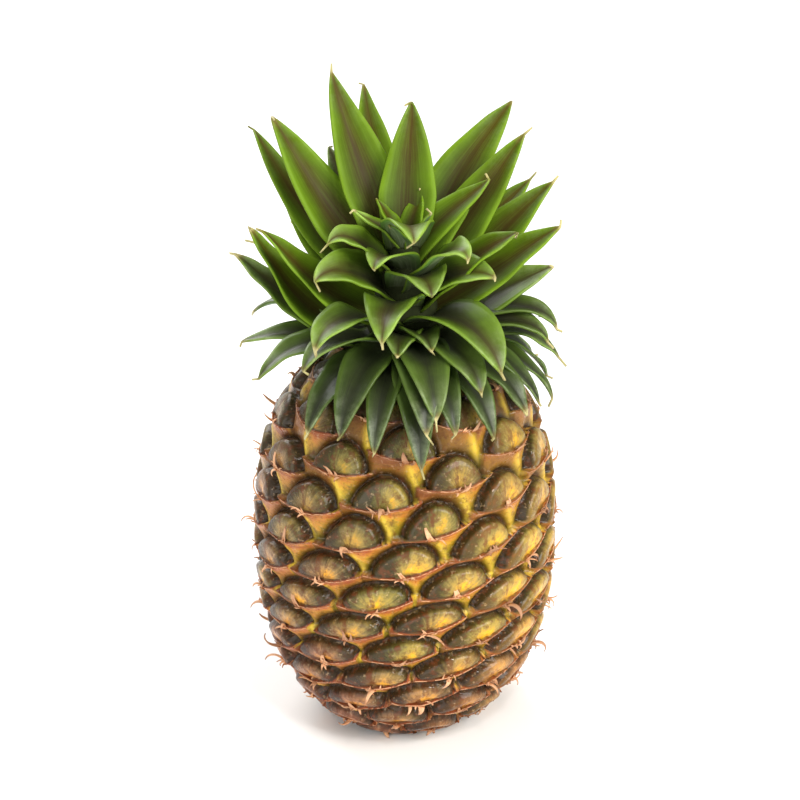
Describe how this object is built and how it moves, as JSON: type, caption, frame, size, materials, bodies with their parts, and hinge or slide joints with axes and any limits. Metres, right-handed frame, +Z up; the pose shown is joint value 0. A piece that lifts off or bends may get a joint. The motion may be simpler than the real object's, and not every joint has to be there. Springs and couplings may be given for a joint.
{
  "type": "pineapple",
  "caption": "whole ripe pineapple standing upright, barrel-shaped fruit with raised spiral eyes and dry pointed bracts under a dense spiky leaf crown",
  "frame": {"origin": "middle of the cut stalk's flat face on the resting plane, under the fruit's axis", "axes": "+Z up along the fruit's axis to the crown, -Y towards the pictured side, +X to the right seen from that side"},
  "size_m": [0.1352, 0.1337, 0.267],
  "materials": {
    "rind": "waxy fruit rind, glossy domes and dry papery bracts",
    "leaves": "fleshy waxy leaves, satin",
    "stalk": "dry cut fibres, matt"
  },
  "bodies": {
    "root": {"fruit": "rind", "crown": "leaves", "stalk": "stalk"}
  },
  "joints": []
}
